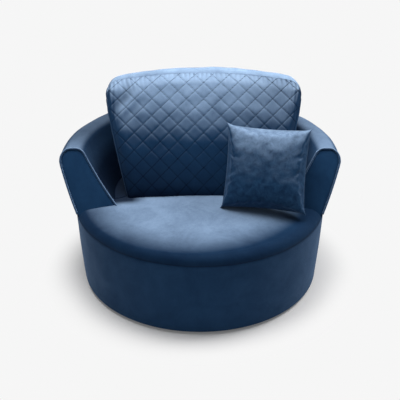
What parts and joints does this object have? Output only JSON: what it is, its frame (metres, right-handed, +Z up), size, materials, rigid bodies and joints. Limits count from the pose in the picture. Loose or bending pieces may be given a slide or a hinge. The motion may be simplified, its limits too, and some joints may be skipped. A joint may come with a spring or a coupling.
{
  "type": "swivel armchair",
  "caption": "Round upholstered swivel armchair: drum seat on a ball-race turntable, wrap-round shell back, diamond-quilted loose back cushion and a square scatter cushion.",
  "frame": {"origin": "On the floor, on the swivel axis, at the middle of the centre glide's lower face", "axes": "+Z up; the open front of the seat faces -Y; +X is to the right in the picture"},
  "size_m": [1.24, 1.1788, 0.9105],
  "materials": {
    "velvet": "matte",
    "piping": "matte",
    "foam": "matte",
    "plywood": "matte",
    "softwood": "matte",
    "hardboard": "matte",
    "webbing": "matte",
    "lining": "matte",
    "plated_steel": "satin",
    "ball_steel": "polished",
    "screw_steel": "satin",
    "nylon": "satin",
    "glide_plastic": "matte",
    "zip_metal": "satin"
  },
  "bodies": {
    "base": {"base_disc": "plywood", "floor_glides": "glide_plastic", "glide_screws": "screw_steel", "lower_swivel_plate": "plated_steel", "lower_plate_screws": "screw_steel", "king_pin": "plated_steel", "thrust_washer": "nylon", "king_nut": "plated_steel"},
    "ball_ring": {"ball_cage": "nylon", "bearing_balls": "ball_steel"},
    "chair": {"upper_swivel_plate": "plated_steel", "upper_plate_screws": "screw_steel", "chassis_board": "plywood", "lower_ring": "plywood", "drum_posts": "softwood", "upper_ring": "plywood", "post_screws": "screw_steel", "drum_panel": "hardboard", "drum_cover": "velvet", "dust_cover": "lining", "webbing_long": "webbing", "webbing_cross": "webbing", "platform_cloth": "lining", "seat_foam": "foam", "seat_cover": "velvet", "shell_ribs": "plywood", "top_rail": "plywood", "shell_inner_panel": "hardboard", "shell_outer_panel": "hardboard", "shell_foam": "foam", "shell_inner_cover": "velvet", "shell_outer_cover": "velvet", "arm_board_left": "plywood", "arm_board_right": "plywood", "arm_facing_left": "velvet", "arm_facing_right": "velvet", "arm_piping_left": "piping", "arm_piping_right": "piping"},
    "back_cushion": {"back_cushion_front": "velvet", "back_cushion_case": "velvet", "back_zip_tape": "lining"},
    "zip_slider": {"back_zip_slider": "zip_metal"},
    "scatter": {"scatter_cushion": "velvet"}
  },
  "joints": [
    {"name": "swivel", "type": "hinge", "parent": "base", "child": "chair", "pos_m": [0, 0, 0], "axis": [0, 0, 1], "continuous": true},
    {"name": "ball_ring_orbit", "type": "hinge", "parent": "base", "child": "ball_ring", "pos_m": [0, 0, 0], "axis": [0, 0, 1], "continuous": true},
    {"name": "back_cushion_lift", "type": "slide", "parent": "chair", "child": "back_cushion", "axis": [0, 0.5189, 0.8548], "range_m": [0, 0.45]},
    {"name": "scatter_lift", "type": "slide", "parent": "chair", "child": "scatter", "axis": [0, 0, 1], "range_m": [0, 0.4]},
    {"name": "zip_slide", "type": "slide", "parent": "back_cushion", "child": "zip_slider", "axis": [1, 0, 0], "range_m": [0, 0.468]}
  ],
  "couplings": [
    {"joint": "ball_ring_orbit", "follows": "swivel", "ratio": 0.5}
  ]
}
